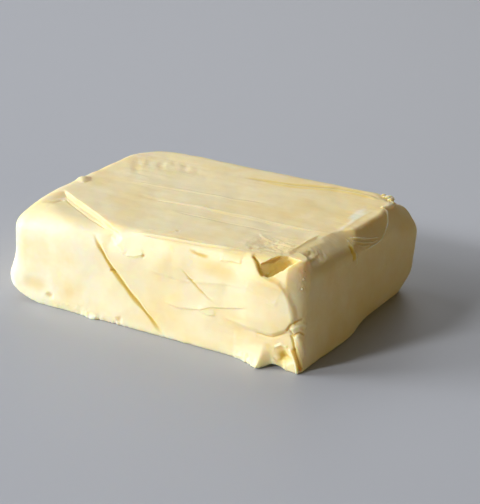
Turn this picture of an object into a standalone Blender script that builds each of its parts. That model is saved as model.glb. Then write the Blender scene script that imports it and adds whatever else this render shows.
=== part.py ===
# A block of margarine, cut from a larger slab and knocked about a little.
# Frame: the middle of the underside is the origin, +X runs along the long side,
# the broad cut front faces -Y, +Z is up.  Sizes are in millimetres and the
# finished mesh is scaled to metres.
import math

import bmesh
import bpy
import numpy as np
from mathutils import Matrix, Vector, noise

MILLIMETRE = 0.001

# The block before wear
BLOCK_LENGTH = 110.0
BLOCK_WIDTH = 79.0
BLOCK_HEIGHT = 32.4

# Upright corners, seen from above; the two on the right change towards the foot
CORNER_NEAR_RADIUS = 5.0
CORNER_NEAR_FOOT_RADIUS = 2.4
CORNER_NEAR_CHANGE = (10.0, 17.0)
CORNER_FRONT_LEFT_RADIUS = 5.5
CORNER_BACK_LEFT_RADIUS = 17.0
CORNER_BACK_RIGHT_RADIUS = 3.4
CORNER_BACK_RIGHT_FOOT_RADIUS = 9.0
CORNER_BACK_RIGHT_CHANGE = (0.0, 9.0)

# Rounding where each side meets the top
TOP_FRONT_RADIUS = 1.6
TOP_FRONT_LEFT_RADIUS = 4.5
TOP_RIGHT_RADIUS = 0.8
TOP_BACK_RADIUS = 6.0
TOP_LEFT_RADIUS = 5.0
UNDERSIDE_RADIUS = 0.9

# Side walls: how far each leans in at the top (below zero it leans out)
FRONT_LEAN_LEFT = 0.6
FRONT_LEAN_NEAR = 4.4
RIGHT_LEAN_NEAR = 2.6
RIGHT_LEAN_BACK = -1.4
BACK_LEAN = -2.0
LEFT_LEAN = -0.4
LEFT_FOOT_BULGE = 2.9
LEFT_FOOT_HEIGHT = 5.0

# The worn shoulder along the front and right rims
FRONT_SHOULDER_DROP = 8.0
FRONT_SHOULDER_INSET = 2.4
RIGHT_SHOULDER_DROP = 6.0
RIGHT_SHOULDER_INSET = 3.8
BACK_SHOULDER_DROP = 4.0
BACK_SHOULDER_INSET = 2.6
BACK_SHOULDER_CHANGE = (16.0, 30.0)
NEAR_TEAR_INSET = 4.2
NEAR_TEAR_FROM = -28.0
NEAR_TEAR_TO = -3.0

# The sagged top corner on the left of the front
SAG_LINE_START = (-46.0, -19.5)
SAG_LINE_END = (-14.0, -39.0)
SAG_SLOPE = 0.13
SAG_CORNER = 1.5
SAG_CORNER_REACH = 15.0
BACK_RIGHT_SAG = 3.4
BACK_RIGHT_SAG_REACH = 11.0
CORNER_LIFT = 3.6
CORNER_LIFT_REACH = 12.0

# Moves the finished block so that its middle stands over the origin
CENTRING_X = 1.20
CENTRING_Y = 0.30

# How finely the block is divided
EDGE_STEPS = (0.8, 1.8, 3.2, 5.0, 7.6, 11.0)
GRID_SPACING = 6.6
GRAIN = {"groove": 0.8, "step": 1.3, "ridge": 1.7, "sheet": 1.2}
CHIP_GRAIN = 2.4
CLOSENESS = 0.4
SHEET_REACH = 16.0
UNEVENNESS = 0.28

# Marks in the surface.  A path runs over the named faces: "front" points are
# (x, z), "top" points (x, y), "right" points (y, z), and "space" points (x, y, z).
# It is drawn left to right as its face is looked at, so its high side lies above.
MARKS = (
    # the step where the sagged corner has slipped
    {"kind": "step", "depth": 1.6, "width": 1.2, "reach": 9.0,
     "path": (("top", -49.0, -17.6), ("top", -40.0, -23.0), ("top", -24.5, -31.0), ("top", -15.2, -37.0),
              ("front", -10.4, 29.4))},
    # the long cut down the front
    {"kind": "groove", "depth": 1.4, "width": 1.5,
     "path": (("front", -23.0, 27.5), ("front", -18.1, 20.0), ("front", -7.7, 11.7), ("front", 5.0, 1.9))},
    # fat smeared over the near corner: raised inside its edge, melting away to the left
    {"kind": "sheet", "depth": 0.95, "width": 1.2, "fade": (27.0, 38.0),
     "path": (("front", 24.0, 12.2), ("front", 35.0, 10.4), ("front", 44.5, 10.2),
              ("space", 49.4, -37.8, 12.6), ("space", 51.3, -36.4, 16.6), ("space", 48.6, -36.2, 23.8),
              ("space", 43.4, -35.7, 27.1), ("space", 39.2, -35.5, 28.0), ("space", 36.1, -33.9, 31.3))},
    # creases of the folded foot
    {"kind": "groove", "depth": 0.8, "width": 0.9,
     "path": (("front", 42.5, 9.5), ("front", 47.4, 10.9), ("space", 50.7, -37.1, 14.9),
              ("space", 53.0, -34.4, 16.4))},
    {"kind": "groove", "depth": 1.1, "width": 1.0,
     "path": (("front", 50.6, 12.0), ("front", 52.6, 8.8), ("front", 53.9, 1.4))},
    # ridges drawn along the top by the knife
    {"kind": "ridge", "depth": 0.35, "width": 0.9,
     "path": (("top", -20.0, -8.7), ("top", 15.0, -6.2), ("top", 45.0, -5.0))},
    {"kind": "ridge", "depth": 0.4, "width": 1.1,
     "path": (("top", -12.0, -37.6), ("top", 0.0, -36.3), ("top", 33.0, -30.6))},
    {"kind": "ridge", "depth": 0.45, "width": 1.6,
     "path": (("top", 2.0, 25.4), ("top", 29.0, 31.0), ("top", 45.0, 30.0))},
    # the curled lip of the right rim
    {"kind": "ridge", "depth": 0.7, "width": 1.5,
     "path": (("top", 46.4, -2.5), ("top", 46.6, 10.0), ("top", 47.2, 24.0))},
    # a smear hanging from that rim, with a short run at its near side
    {"kind": "ridge", "depth": 0.8, "width": 2.4,
     "path": (("right", -5.5, 29.2), ("right", 4.0, 27.0), ("right", 14.5, 26.0), ("right", 20.0, 29.5))},
    {"kind": "ridge", "depth": 1.0, "width": 1.1,
     "path": (("right", -7.0, 31.0), ("right", -3.6, 27.6), ("right", -1.8, 22.8))},
)

# Round dents and swellings: face, two coordinates, radius, depth
DENTS = (
    {"place": ("front", 49.0, 4.6), "radius": 3.0, "depth": 1.9},
    {"place": ("front", -39.0, 4.1), "radius": 2.0, "depth": 0.5},
    {"place": ("top", -45.0, -31.0), "radius": 2.4, "depth": 0.4},
    {"place": ("top", 36.0, -22.0), "radius": 7.0, "depth": 0.5},
    {"place": ("front", 44.0, 18.5), "radius": 9.0, "depth": -0.7},
    {"place": ("top", -50.0, -5.0), "radius": 3.4, "depth": -0.9},
)

# The foot splayed out under the pillow, and a smaller one further left
FEET = (
    {"x": 40.0, "half_length": 7.5, "height": 6.0, "spread": 3.4},
    {"x": -22.0, "half_length": 4.0, "height": 2.6, "spread": 1.5},
)
FOOT_GAP = {"x": 46.6, "half_length": 3.4, "rise": 1.1}

# The right foot swells a little near the middle and is tucked in behind it
RIGHT_FOOT = {
    "height": 7.0,
    "swell": 0.7,
    "swell_y": -13.0,
    "swell_half": 13.0,
    "tuck": 2.2,
    "tuck_y": (-8.0, 10.0),
}

# The chip out of the top edge by the near corner, as the corners of a wedge:
# its mouth, two corners clear of the block, and the bottom inside
CHIP_CORNERS = (
    (37.2, -34.8, 30.3), (39.2, -36.0, 27.7), (41.0, -36.2, 26.9), (44.2, -35.2, 28.9),
    (47.6, -33.2, 31.8), (49.0, -29.6, 32.9), (43.7, -28.5, 33.2), (41.6, -32.6, 32.6),
    (42.0, -40.0, 31.5), (46.0, -37.0, 35.5),
    (40.6, -33.4, 27.2), (44.8, -31.2, 28.6), (47.8, -29.6, 30.6),
)

# Torn crumbs left standing on the rims: centre, size, turn about Z in degrees
CRUMBS = (
    {"place": (44.6, 35.2, 31.6), "size": (1.9, 1.2, 1.2), "turn": 24.0},
    {"place": (49.0, 31.0, 31.4), "size": (1.5, 1.9, 1.2), "turn": -18.0},
    {"place": (46.6, -20.4, 30.9), "size": (3.6, 2.0, 1.3), "turn": 62.0},
    {"place": (48.8, -26.4, 29.9), "size": (2.2, 1.5, 1.4), "turn": 15.0},
)
CRUMB_ROUGHNESS = 0.22

BODY_COLOUR = (0.90, 0.76, 0.42, 1.0)


def smooth(value):
    value = np.clip(value, 0.0, 1.0)
    return value * value * (3.0 - 2.0 * value)


def blend(value, low, high):
    return smooth((value - low) / (high - low))


def front_wall(x):
    """How far the front leans in at the top, along the block."""
    along = np.clip((x + 30.0) / 80.0, 0.0, 1.0)
    return FRONT_LEAN_LEFT + (FRONT_LEAN_NEAR - FRONT_LEAN_LEFT) * along


def right_wall(y):
    """How far the right end leans in at the top, from its near to its back edge."""
    along = np.clip(0.5 + y / BLOCK_WIDTH, 0.0, 1.0)
    return RIGHT_LEAN_NEAR + (RIGHT_LEAN_BACK - RIGHT_LEAN_NEAR) * along


def on_face(face, first, second, third=0.0):
    """A point on the plain block: two coordinates on one face, or three in space."""
    if face == "space":
        return (first, second, third)
    if face == "top":
        return (first, second, BLOCK_HEIGHT)
    if face == "front":
        lean = float(front_wall(np.array(first))) * second / BLOCK_HEIGHT
        return (first, -0.5 * BLOCK_WIDTH + lean, second)
    lean = float(right_wall(np.array(first))) * second / BLOCK_HEIGHT
    return (0.5 * BLOCK_LENGTH - lean, first, second)


def cut_places(low, high):
    """Cuts close together by both edges and evenly spaced between."""
    half = 0.5 * (high - low)
    near = [step for step in EDGE_STEPS if step < half - 0.6 * GRID_SPACING]
    places = [low + step for step in near] + [high - step for step in near]
    inner_low = low + near[-1]
    inner_high = high - near[-1]
    count = max(1, round((inner_high - inner_low) / GRID_SPACING))
    for index in range(1, count):
        places.append(inner_low + (inner_high - inner_low) * index / count)
    return sorted(places)


def gridded_box():
    mesh = bmesh.new()
    bmesh.ops.create_cube(mesh, size=1.0)
    bmesh.ops.scale(mesh, vec=(BLOCK_LENGTH, BLOCK_WIDTH, BLOCK_HEIGHT), verts=mesh.verts)
    bmesh.ops.translate(mesh, vec=(0.0, 0.0, 0.5 * BLOCK_HEIGHT), verts=mesh.verts)
    spans = (
        (Vector((1, 0, 0)), -0.5 * BLOCK_LENGTH, 0.5 * BLOCK_LENGTH),
        (Vector((0, 1, 0)), -0.5 * BLOCK_WIDTH, 0.5 * BLOCK_WIDTH),
        (Vector((0, 0, 1)), 0.0, BLOCK_HEIGHT),
    )
    for axis, low, high in spans:
        for place in cut_places(low, high):
            everything = mesh.verts[:] + mesh.edges[:] + mesh.faces[:]
            bmesh.ops.bisect_plane(mesh, geom=everything, plane_co=axis * place, plane_no=axis)
    return mesh


def corner_radii(points, side_x, side_y):
    """The radius of the upright corner nearest each point."""
    z = points[:, 2]
    near = CORNER_NEAR_FOOT_RADIUS
    near = near + (CORNER_NEAR_RADIUS - near) * blend(z, *CORNER_NEAR_CHANGE)
    back = CORNER_BACK_RIGHT_FOOT_RADIUS
    back = back + (CORNER_BACK_RIGHT_RADIUS - back) * blend(z, *CORNER_BACK_RIGHT_CHANGE)
    return np.where(
        side_x > 0.0,
        np.where(side_y < 0.0, near, back),
        np.where(side_y < 0.0, CORNER_FRONT_LEFT_RADIUS, CORNER_BACK_LEFT_RADIUS),
    )


def plan_rounded(points):
    """Round the four upright corners, keeping the grid even inside them."""
    result = points.copy()
    side_x = np.where(points[:, 0] < 0.0, -1.0, 1.0)
    side_y = np.where(points[:, 1] < 0.0, -1.0, 1.0)
    radius = corner_radii(points, side_x, side_y)
    centre_x = 0.5 * BLOCK_LENGTH - radius
    centre_y = 0.5 * BLOCK_WIDTH - radius
    over_x = (points[:, 0] * side_x - centre_x) / radius
    over_y = (points[:, 1] * side_y - centre_y) / radius
    inside = (over_x > 0.0) & (over_y > 0.0)
    reach = np.maximum(over_x, over_y) / np.maximum(np.hypot(over_x, over_y), 1e-9)
    result[inside, 0] = (side_x * (centre_x + radius * reach * over_x))[inside]
    result[inside, 1] = (side_y * (centre_y + radius * reach * over_y))[inside]
    return result


def wall_distance(points):
    """Distance in from the plan outline and the outward direction there."""
    side_x = np.where(points[:, 0] < 0.0, -1.0, 1.0)
    side_y = np.where(points[:, 1] < 0.0, -1.0, 1.0)
    radius = corner_radii(points, side_x, side_y)
    over_x = np.abs(points[:, 0]) - (0.5 * BLOCK_LENGTH - radius)
    over_y = np.abs(points[:, 1]) - (0.5 * BLOCK_WIDTH - radius)
    round_part = (over_x > 0.0) & (over_y > 0.0)
    size = np.maximum(np.hypot(over_x, over_y), 1e-9)
    along_x = over_x > over_y
    distance = np.where(round_part, radius - size, radius - np.maximum(over_x, over_y))
    out_x = np.where(round_part, over_x / size, np.where(along_x, 1.0, 0.0)) * side_x
    out_y = np.where(round_part, over_y / size, np.where(along_x, 0.0, 1.0)) * side_y
    return distance, np.stack([out_x, out_y], axis=1)


def rim_rounded(points):
    """Round the top and bottom edges, each side with its own radius."""
    distance, outward = wall_distance(points)
    share_x = outward[:, 0] ** 2
    share_y = outward[:, 1] ** 2
    top_x = np.where(outward[:, 0] > 0.0, TOP_RIGHT_RADIUS, TOP_LEFT_RADIUS)
    slumped = 1.0 - blend(points[:, 0], -26.0, -12.0)
    top_front = TOP_FRONT_RADIUS + (TOP_FRONT_LEFT_RADIUS - TOP_FRONT_RADIUS) * slumped
    top_y = np.where(outward[:, 1] > 0.0, TOP_BACK_RADIUS, top_front)
    result = points.copy()
    rims = (
        (top_x * share_x + top_y * share_y, BLOCK_HEIGHT - points[:, 2], 1.0),
        (np.full(len(points), UNDERSIDE_RADIUS), points[:, 2], -1.0),
    )
    for radius, depth, upward in rims:
        inward = (radius - distance) / radius
        height = (radius - depth) / radius
        chosen = (inward > 0.0) & (height > 0.0)
        size = np.maximum(np.hypot(inward, height), 1e-9)
        shift = (radius - radius * inward / size) - distance
        new_depth = radius - radius * height / size
        result[chosen, :2] -= (outward * shift[:, None])[chosen]
        result[chosen, 2] -= (upward * (new_depth - depth))[chosen]
    return result


def sag_distance(points):
    """Distance in front of the line the sagged corner has slipped along."""
    start = np.array(SAG_LINE_START)
    along = np.array(SAG_LINE_END) - start
    along = along / np.linalg.norm(along)
    offset = points[:, :2] - start
    return offset[:, 0] * along[1] - offset[:, 1] * along[0]


def worn(points):
    """Lean, shoulder, sag and lift of the whole block."""
    result = points.copy()
    x = points[:, 0]
    y = points[:, 1]
    z = points[:, 2]
    rise = z / BLOCK_HEIGHT
    to_front = np.clip((20.0 - y) / (20.0 + 0.5 * BLOCK_WIDTH), 0.0, 1.0)
    to_right = np.clip((x - 15.0) / (0.5 * BLOCK_LENGTH - 15.0), 0.0, 1.0)
    to_left = np.clip((-x - 20.0) / (0.5 * BLOCK_LENGTH - 20.0), 0.0, 1.0)

    front_over = np.clip(1.0 - (BLOCK_HEIGHT - z) / FRONT_SHOULDER_DROP, 0.0, 1.0)
    front_inset = front_wall(x) * rise + FRONT_SHOULDER_INSET * front_over ** 1.7
    result[:, 1] += front_inset * to_front

    torn = blend(y, NEAR_TEAR_FROM - 5.0, NEAR_TEAR_FROM)
    torn = torn * (1.0 - blend(y, NEAR_TEAR_TO - 3.0, NEAR_TEAR_TO + 3.0))
    rearward = blend(y, *BACK_SHOULDER_CHANGE)
    right_drop = RIGHT_SHOULDER_DROP + BACK_SHOULDER_DROP * rearward
    right_over = np.clip(1.0 - (BLOCK_HEIGHT - z) / right_drop, 0.0, 1.0)
    shoulder = RIGHT_SHOULDER_INSET * (1.0 - blend(-y, 30.0, 38.0))
    shoulder += NEAR_TEAR_INSET * torn + BACK_SHOULDER_INSET * rearward
    result[:, 0] -= (right_wall(y) * rise + shoulder * right_over ** 1.3) * to_right

    to_back = np.clip((y - 5.0) / (0.5 * BLOCK_WIDTH - 5.0), 0.0, 1.0)
    result[:, 1] -= BACK_LEAN * rise * to_back

    belly = np.exp(-(((z - LEFT_FOOT_HEIGHT) / 6.0) ** 2)) * np.clip(z / 2.0, 0.0, 1.0)
    nearer = 1.0 - blend(y, -20.0, 20.0)
    result[:, 0] += (LEFT_LEAN - LEFT_FOOT_BULGE * belly * nearer) * to_left ** 2

    slipped = np.clip(sag_distance(points) - 1.0, 0.0, None)
    result[:, 2] -= SAG_SLOPE * slipped * rise ** 2

    back_corner = np.hypot(x - 0.5 * BLOCK_LENGTH, y - 0.5 * BLOCK_WIDTH)
    result[:, 2] -= BACK_RIGHT_SAG * (1.0 - blend(back_corner, 2.0, BACK_RIGHT_SAG_REACH)) * rise ** 3

    corner = np.hypot(x + 0.5 * BLOCK_LENGTH, y + 0.5 * BLOCK_WIDTH)
    result[:, 2] -= SAG_CORNER * (1.0 - blend(corner, 0.0, SAG_CORNER_REACH)) * rise ** 2
    lift = np.clip(1.0 - corner / CORNER_LIFT_REACH, 0.0, 1.0) ** 1.5
    result[:, 2] += CORNER_LIFT * lift * (1.0 - rise)
    return result


def splayed(points):
    """Push the foot of the front out over the plate, lift its loose edge, and
    let the foot of the right end wander in and out."""
    result = points.copy()
    at_front = blend(-points[:, 1], 0.5 * BLOCK_WIDTH - 5.0, 0.5 * BLOCK_WIDTH - 1.5)
    for foot in FEET:
        window = np.clip(1.0 - ((points[:, 0] - foot["x"]) / foot["half_length"]) ** 2, 0.0, 1.0)
        low = np.clip(1.0 - points[:, 2] / foot["height"], 0.0, 1.0) ** 1.6
        result[:, 1] -= foot["spread"] * window * low * at_front
    window = np.clip(1.0 - ((points[:, 0] - FOOT_GAP["x"]) / FOOT_GAP["half_length"]) ** 2, 0.0, 1.0)
    low = np.clip(1.0 - points[:, 2] / 4.0, 0.0, 1.0)
    result[:, 2] += FOOT_GAP["rise"] * window * low * at_front

    at_right = blend(points[:, 0], 0.5 * BLOCK_LENGTH - 9.0, 0.5 * BLOCK_LENGTH - 1.0)
    low = np.clip(1.0 - points[:, 2] / RIGHT_FOOT["height"], 0.0, 1.0) ** 1.5
    away = (points[:, 1] - RIGHT_FOOT["swell_y"]) / RIGHT_FOOT["swell_half"]
    outward = RIGHT_FOOT["swell"] * np.clip(1.0 - away ** 2, 0.0, 1.0)
    outward -= RIGHT_FOOT["tuck"] * blend(points[:, 1], *RIGHT_FOOT["tuck_y"])
    result[:, 0] += outward * low * at_right
    return result


def mark_distance(points, normals, path):
    """Signed distance of each point from a path drawn on the surface, and how
    far along the path, from 0 to 1, its nearest place is."""
    places = np.array([on_face(*step) for step in path])
    lengths = np.linalg.norm(places[1:] - places[:-1], axis=1)
    before = np.concatenate([[0.0], np.cumsum(lengths)])
    nearest = np.full(len(points), 1e6)
    signed = np.full(len(points), 1e6)
    travelled = np.zeros(len(points))
    for index, length in enumerate(lengths):
        direction = (places[index + 1] - places[index]) / length
        offset = points - places[index]
        along = np.clip(offset @ direction, 0.0, length)
        gap = offset - along[:, None] * direction
        lift = np.sum(gap * normals, axis=1)
        flat = gap - lift[:, None] * normals
        size = np.linalg.norm(flat, axis=1)
        size = np.where(np.abs(lift) < 4.5, size, 1e6)
        side = np.sum(flat * np.cross(normals, direction), axis=1)
        better = size < nearest
        nearest = np.where(better, size, nearest)
        signed = np.where(better, np.where(side < 0.0, -size, size), signed)
        travelled = np.where(better, before[index] + along, travelled)
    return signed, travelled / before[-1]


def relief(points, normals):
    """How far each point stands above (or below) the plain surface."""
    height = np.zeros(len(points))
    for mark in MARKS:
        signed, travelled = mark_distance(points, normals, mark["path"])
        ends = smooth(travelled / 0.12) * smooth((1.0 - travelled) / 0.12)
        across = np.abs(signed) / mark["width"]
        if mark["kind"] == "step":
            fall = smooth(0.5 - 0.5 * signed / mark["width"])
            reach = 1.0 - smooth(-signed / mark["reach"])
            height -= mark["depth"] * fall * reach * ends
        elif mark["kind"] == "sheet":
            rise = smooth(0.5 + signed / mark["width"]) * blend(points[:, 0], *mark["fade"])
            height += np.where(signed < SHEET_REACH, mark["depth"] * rise * ends, 0.0)
        else:
            shape = smooth(1.0 - across)
            sign = 1.0 if mark["kind"] == "ridge" else -1.0
            height += sign * mark["depth"] * shape * ends
    for dent in DENTS:
        centre = np.array(on_face(*dent["place"]))
        away = np.linalg.norm(points - centre, axis=1) / dent["radius"]
        height -= dent["depth"] * np.clip(1.0 - away ** 2, 0.0, 1.0) ** 1.5
    return height


def unevenness(point):
    """Gentle hand-cut unevenness of every side but the underside."""
    broad = noise.noise(Vector(point) * 0.055)
    close = noise.noise(Vector(point) * 0.16 + Vector((31.0, 7.0, 3.0)))
    return UNEVENNESS * (broad + 0.5 * close)


def point_table(mesh):
    return np.array([vert.co[:] for vert in mesh.verts])


def shaped(points):
    return splayed(worn(rim_rounded(plan_rounded(points))))


def set_points(mesh, points):
    for vert, place in zip(mesh.verts, points):
        vert.co = place
    mesh.normal_update()


def marked_places(points, normals):
    """For every mark: how near each point is to it, and the grain it needs."""
    found = []
    for mark in MARKS:
        signed, _ = mark_distance(points, normals, mark["path"])
        found.append((np.abs(signed) - mark["width"], GRAIN[mark["kind"]]))
    for dent in DENTS:
        away = np.linalg.norm(points - np.array(on_face(*dent["place"])), axis=1)
        found.append((away - dent["radius"], 0.5 * dent["radius"]))
    away = np.linalg.norm(points - np.array(CHIP_CORNERS).mean(axis=0), axis=1)
    found.append((away - 7.5, CHIP_GRAIN))
    return found


def refine_near_marks(mesh):
    """Divide the grid again beside every mark and around the chip."""
    for _ in range(3):
        mesh.verts.index_update()
        mesh.normal_update()
        normals = np.array([vert.normal[:] for vert in mesh.verts])
        found = marked_places(shaped(point_table(mesh)), normals)
        edges = mesh.edges[:]
        lengths = np.array([edge.calc_length() for edge in edges])
        firsts = np.array([edge.verts[0].index for edge in edges])
        seconds = np.array([edge.verts[1].index for edge in edges])
        wanted = np.zeros(len(edges), dtype=bool)
        for close, grain in found:
            beside = np.minimum(close[firsts], close[seconds])
            wanted |= (lengths > grain) & (beside < CLOSENESS * lengths)
        chosen = [edge for edge, is_wanted in zip(edges, wanted) if is_wanted]
        bmesh.ops.subdivide_edges(mesh, edges=chosen, cuts=1, use_grid_fill=True)
    mesh.normal_update()
    bmesh.ops.triangulate(mesh, faces=mesh.faces[:])


def object_from(mesh, name):
    bmesh.ops.scale(mesh, vec=(MILLIMETRE, MILLIMETRE, MILLIMETRE), verts=mesh.verts)
    bmesh.ops.recalc_face_normals(mesh, faces=mesh.faces)
    data = bpy.data.meshes.new(name)
    mesh.to_mesh(data)
    mesh.free()
    thing = bpy.data.objects.new(name, data)
    bpy.context.scene.collection.objects.link(thing)
    return thing


def block_body():
    mesh = gridded_box()
    refine_near_marks(mesh)
    flat = point_table(mesh)
    set_points(mesh, shaped(flat))
    points = point_table(mesh)
    normals = np.array([vert.normal[:] for vert in mesh.verts])
    bumps = np.array([unevenness(place) for place in points])
    resting = flat[:, 2] < 1e-6
    free = blend(points[:, 2], 0.2, 3.0)
    height = relief(points, normals) + bumps * free
    height = np.where(resting, 0.0, height)
    moved = points + normals * height[:, None]
    moved[:, 2] = np.maximum(moved[:, 2], 0.0)
    set_points(mesh, moved)
    return object_from(mesh, "margarine_block")


def chip_cutter():
    mesh = bmesh.new()
    for corner in CHIP_CORNERS:
        mesh.verts.new(corner)
    bmesh.ops.convex_hull(mesh, input=mesh.verts)
    return object_from(mesh, "chip_cutter")


def crumb(settings, index):
    mesh = bmesh.new()
    bmesh.ops.create_icosphere(mesh, subdivisions=2, radius=1.0)
    for vert in mesh.verts:
        swell = noise.noise(vert.co * 1.3 + Vector((index * 5.0, 2.0, 1.0)))
        vert.co *= 1.0 + CRUMB_ROUGHNESS * swell
    bmesh.ops.scale(mesh, vec=settings["size"], verts=mesh.verts)
    turn = Matrix.Rotation(math.radians(settings["turn"]), 4, "Z")
    bmesh.ops.transform(mesh, matrix=turn, verts=mesh.verts)
    bmesh.ops.translate(mesh, vec=settings["place"], verts=mesh.verts)
    return object_from(mesh, "crumb_" + str(index))


def apply_boolean(body, operation, other=None, group=None):
    change = body.modifiers.new(operation.lower(), "BOOLEAN")
    change.operation = operation
    change.solver = "EXACT"
    if group is None:
        other.hide_render = True
        other.display_type = "WIRE"
        change.object = other
    else:
        change.operand_type = "COLLECTION"
        change.collection = group
    view = bpy.context.evaluated_depsgraph_get()
    finished = bpy.data.meshes.new_from_object(body.evaluated_get(view))
    body.modifiers.clear()
    old = body.data
    body.data = finished
    bpy.data.meshes.remove(old)


def tidy(body):
    """Centre the block, clear slivers left by the cuts, face everything outward."""
    mesh = bmesh.new()
    mesh.from_mesh(body.data)
    shift = Vector((CENTRING_X, CENTRING_Y, 0.0)) * MILLIMETRE
    bmesh.ops.translate(mesh, vec=shift, verts=mesh.verts)
    bmesh.ops.remove_doubles(mesh, verts=mesh.verts, dist=0.00002)
    bmesh.ops.dissolve_degenerate(mesh, edges=mesh.edges, dist=0.00002)
    bmesh.ops.triangulate(mesh, faces=mesh.faces[:])
    bmesh.ops.recalc_face_normals(mesh, faces=mesh.faces)
    mesh.to_mesh(body.data)
    mesh.free()


def margarine_material():
    material = bpy.data.materials.new("margarine")
    material.use_nodes = True
    shader = material.node_tree.nodes["Principled BSDF"]
    shader.inputs["Base Color"].default_value = BODY_COLOUR
    shader.inputs["Roughness"].default_value = 0.55
    return material


def main():
    for thing in list(bpy.data.objects):
        bpy.data.objects.remove(thing, do_unlink=True)
    body = block_body()

    cutter = chip_cutter()
    apply_boolean(body, "DIFFERENCE", other=cutter)
    bpy.data.objects.remove(cutter, do_unlink=True)

    group = bpy.data.collections.new("crumbs")
    bpy.context.scene.collection.children.link(group)
    pieces = [crumb(settings, index) for index, settings in enumerate(CRUMBS)]
    for piece in pieces:
        bpy.context.scene.collection.objects.unlink(piece)
        group.objects.link(piece)
    apply_boolean(body, "UNION", group=group)
    for piece in pieces:
        bpy.data.objects.remove(piece, do_unlink=True)
    bpy.data.collections.remove(group)

    tidy(body)
    body.data.shade_smooth()
    body.data.materials.clear()
    body.data.materials.append(margarine_material())


main()
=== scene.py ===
import math
from functools import partial

import bmesh
import bpy
import numpy as np
from mathutils import Matrix, Vector, noise
from mathutils.bvhtree import BVHTree


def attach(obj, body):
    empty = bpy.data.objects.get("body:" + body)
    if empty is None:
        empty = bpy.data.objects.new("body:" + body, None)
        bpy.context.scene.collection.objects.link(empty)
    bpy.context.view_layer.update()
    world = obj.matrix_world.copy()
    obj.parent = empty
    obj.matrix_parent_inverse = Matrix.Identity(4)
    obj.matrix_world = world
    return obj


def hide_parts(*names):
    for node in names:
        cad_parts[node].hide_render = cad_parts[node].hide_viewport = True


# Block of margarine, knife-cut and handled. Everything is in millimetres until
# a mesh is finished; +X runs to the chipped corner, the cut front faces -Y.

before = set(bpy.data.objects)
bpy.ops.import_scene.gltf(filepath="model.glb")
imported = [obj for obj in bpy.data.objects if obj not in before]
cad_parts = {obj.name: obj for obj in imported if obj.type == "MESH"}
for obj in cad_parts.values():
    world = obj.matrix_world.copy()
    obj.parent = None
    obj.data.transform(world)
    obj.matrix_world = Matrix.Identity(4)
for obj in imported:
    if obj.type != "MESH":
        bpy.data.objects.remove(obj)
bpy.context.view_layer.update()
print("frame loaded")

millimetre = 0.001
farAway = 1e6
tiny = 1e-9                         # stands in for nothing where a length is divided by
onPlate = 1e-6
mergeDistance = 0.005

block = {
    "length": 110.0,
    "width": 79.0,
    "height": 32.4,
    "centring": (1.20, 0.30),       # puts the middle of the box over the origin
    "nearCorner": 5.8,              # upright corner radii; the near one widens upwards
    "nearCornerFoot": 2.4,
    "nearCornerChange": (9.0, 31.0),
    "nearShave": 0.5,               # how flat that corner was shaved, 0 round to 1 flat
    "nearShaveChange": (8.0, 17.0),
    "frontLeftCorner": 5.5,
    "backLeftCorner": 17.0,
    "backRightCorner": 3.4,
    "backRightCornerFoot": 9.0,
    "backRightCornerChange": (0.0, 9.0),
    "topFront": 1.6,                # rounding along the top, side by side
    "topFrontLeft": 4.5,
    "topFrontChange": (-26.0, -12.0),
    "topRight": 0.8,
    "topBack": 6.0,
    "topLeft": 5.0,
    "underside": 0.9,
    "gridSpacing": 1.7,
    "edgeSpare": 1.02,              # the grid's own steps end this far from the middle
    "edgeSteps": (0.3, 0.7, 1.2, 1.9, 2.8, 3.9, 5.2, 6.7, 8.4, 10.2, 12.2),
}

wear = {
    "frontLeanLeft": 0.6,           # how far each wall leans in at the top; below zero, out
    "frontLeanNear": 4.4,
    "frontLeanChange": (-30.0, 50.0),
    "rightLeanNear": 2.6,
    "rightLeanBack": -1.4,
    "backLean": -2.0,
    "leftLean": -0.4,
    "frontFrom": 20.0,              # how near the middle each wall's lean fades out
    "backFrom": 5.0,
    "rightFrom": 15.0,
    "leftFrom": 20.0,
    "leftBulge": 2.9,
    "leftBulgeHeight": 5.0,
    "leftBulgeSpread": 6.0,
    "leftBulgeFoot": 2.0,
    "leftBulgeChange": (-20.0, 20.0),
    "frontShoulderDrop": 8.0,
    "frontShoulderInset": 2.4,
    "frontShoulderCurve": 1.7,
    "rightShoulderDrop": 6.0,
    "rightShoulderInset": 3.8,
    "rightShoulderCurve": 1.3,
    "rightShoulderEnd": (30.0, 38.0),
    "tearInset": 4.2,
    "tearDrop": 3.4,
    "tearCurve": 1.2,
    "tearStart": (-33.0, -28.0),
    "tearEnd": (-6.0, 0.0),
    "backShoulderDrop": 4.0,        # the right shoulder grows towards the back
    "backShoulderInset": 2.6,
    "backShoulderChange": (16.0, 30.0),
    "slipStart": (-46.0, -19.5),
    "slipEnd": (-14.0, -39.0),
    "slipSlope": 0.13,
    "slipMargin": 1.0,
    "cornerSag": 1.5,
    "cornerSagReach": (0.0, 15.0),
    "backRightSag": 3.4,
    "backRightSagReach": (2.0, 11.0),
    "cornerLift": 3.6,
    "cornerLiftReach": 12.0,
    "cornerLiftCurve": 1.5,
}


def smooth(value):
    value = np.clip(value, 0.0, 1.0)
    return value * value * (3.0 - 2.0 * value)


def blend(value, low, high):
    return smooth((value - low) / (high - low))


def progress(value, low, high):
    # 0 up to low, 1 from high on, straight in between
    return np.clip((value - low) / (high - low), 0.0, 1.0)


def between(first, second, share):
    return first + (second - first) * share


def frontWall(x):
    # how far the front leans in at the top
    return between(wear["frontLeanLeft"], wear["frontLeanNear"], progress(x, *wear["frontLeanChange"]))


def rightWall(y):
    backward = progress(y, -0.5 * block["width"], 0.5 * block["width"])
    return between(wear["rightLeanNear"], wear["rightLeanBack"], backward)


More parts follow.
